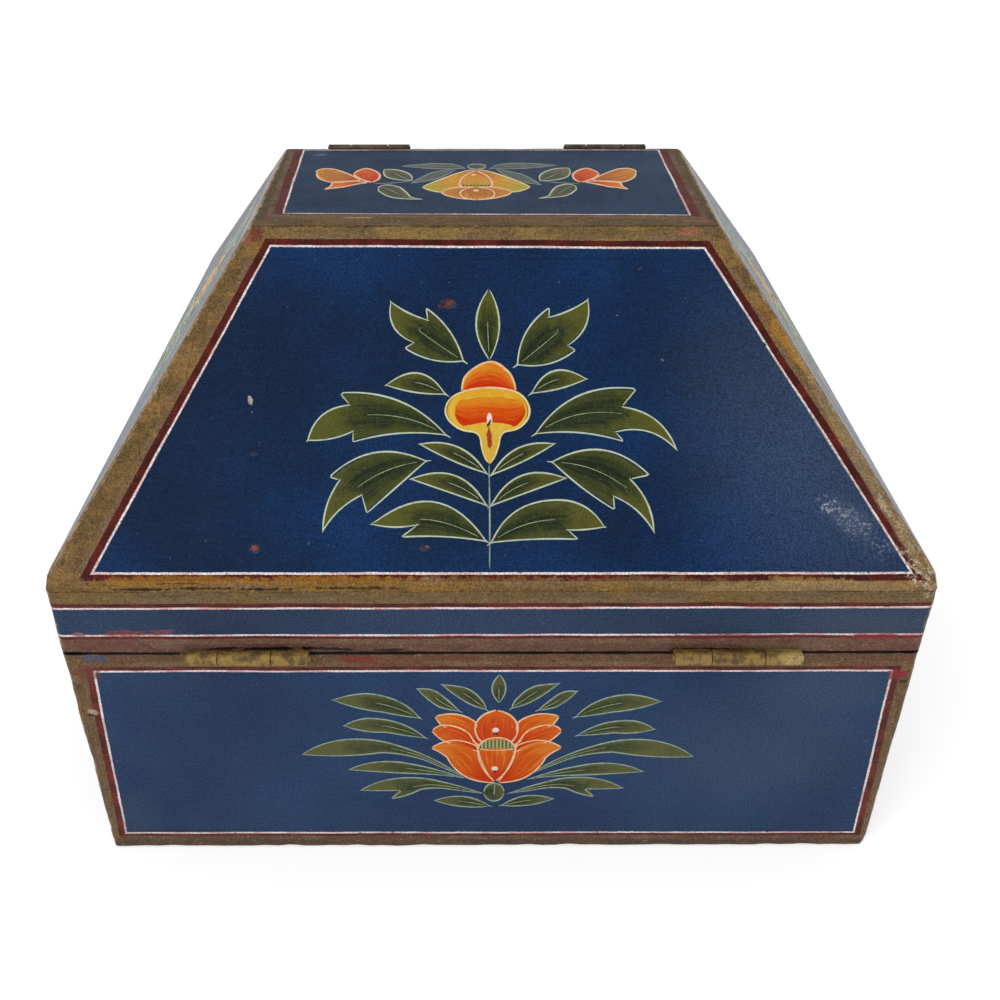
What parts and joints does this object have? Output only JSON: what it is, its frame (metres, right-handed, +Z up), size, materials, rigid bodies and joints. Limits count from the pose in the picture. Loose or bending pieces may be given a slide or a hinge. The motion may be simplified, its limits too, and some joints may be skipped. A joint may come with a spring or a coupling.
{
  "type": "painted keepsake box with hipped lid",
  "caption": "Square painted wooden box whose hinged lid is a hipped roof with a flat top; the front slope opens as a flap over a second compartment.",
  "frame": {"origin": "middle of the underside of the bottom board, on the plane that the box stands on", "axes": "+X to the right of someone at the front, -Y to the front, +Y to the back where the lid hinges, +Z up"},
  "size_m": [0.34, 0.3658, 0.2487],
  "materials": {
    "painted_pine": "worn oil paint in blue, olive and dark red",
    "bare_pine": "bare aged softwood",
    "hinge_brass": "aged, partly painted over",
    "hasp_iron": "dark forged iron",
    "nail_iron": "rusty forged iron"
  },
  "bodies": {
    "base": {"bottom_board": "painted_pine", "base_front_board": "painted_pine", "base_back_board": "painted_pine", "base_left_board": "painted_pine", "base_right_board": "painted_pine", "base_wall_nails": "nail_iron", "bottom_nails": "nail_iron", "lid_hinge_left_base_leaf": "hinge_brass", "lid_hinge_right_base_leaf": "hinge_brass", "lid_hinge_left_pin": "hinge_brass", "lid_hinge_right_pin": "hinge_brass", "lid_hinge_base_nails": "nail_iron", "hasp_staple": "hasp_iron"},
    "lid": {"rim_front_board": "painted_pine", "rim_back_board": "painted_pine", "rim_left_board": "painted_pine", "rim_right_board": "painted_pine", "lid_floor_board": "bare_pine", "back_slope_board": "painted_pine", "left_slope_board": "painted_pine", "right_slope_board": "painted_pine", "top_board": "painted_pine", "rim_nails": "nail_iron", "lid_floor_nails": "nail_iron", "slope_nails": "nail_iron", "top_nails": "nail_iron", "lid_hinge_left_lid_leaf": "hinge_brass", "lid_hinge_right_lid_leaf": "hinge_brass", "lid_hinge_lid_nails": "nail_iron", "flap_hinge_left_top_leaf": "hinge_brass", "flap_hinge_right_top_leaf": "hinge_brass", "flap_hinge_left_pin": "hinge_brass", "flap_hinge_right_pin": "hinge_brass", "flap_hinge_top_nails": "nail_iron"},
    "front_flap": {"front_flap_board": "painted_pine", "flap_hinge_left_flap_leaf": "hinge_brass", "flap_hinge_right_flap_leaf": "hinge_brass", "flap_hinge_flap_nails": "nail_iron", "hasp_plate": "hasp_iron", "hasp_nails": "nail_iron", "hasp_pin": "hasp_iron"},
    "hasp": {"hasp_strap": "hasp_iron"}
  },
  "joints": [
    {"name": "lid_hinge", "type": "hinge", "parent": "base", "child": "lid", "pos_m": [0, 0.1752, 0.11515], "axis": [-1, 0, 0], "range_deg": [0, 165]},
    {"name": "flap_hinge", "type": "hinge", "parent": "lid", "child": "front_flap", "pos_m": [0, -0.0565, 0.24715], "axis": [-1, 0, 0], "range_deg": [0, 205]},
    {"name": "hasp_hinge", "type": "hinge", "parent": "front_flap", "child": "hasp", "pos_m": [0, -0.17526, 0.1477], "axis": [1, 0, 0], "range_deg": [0, 228.7]}
  ]
}
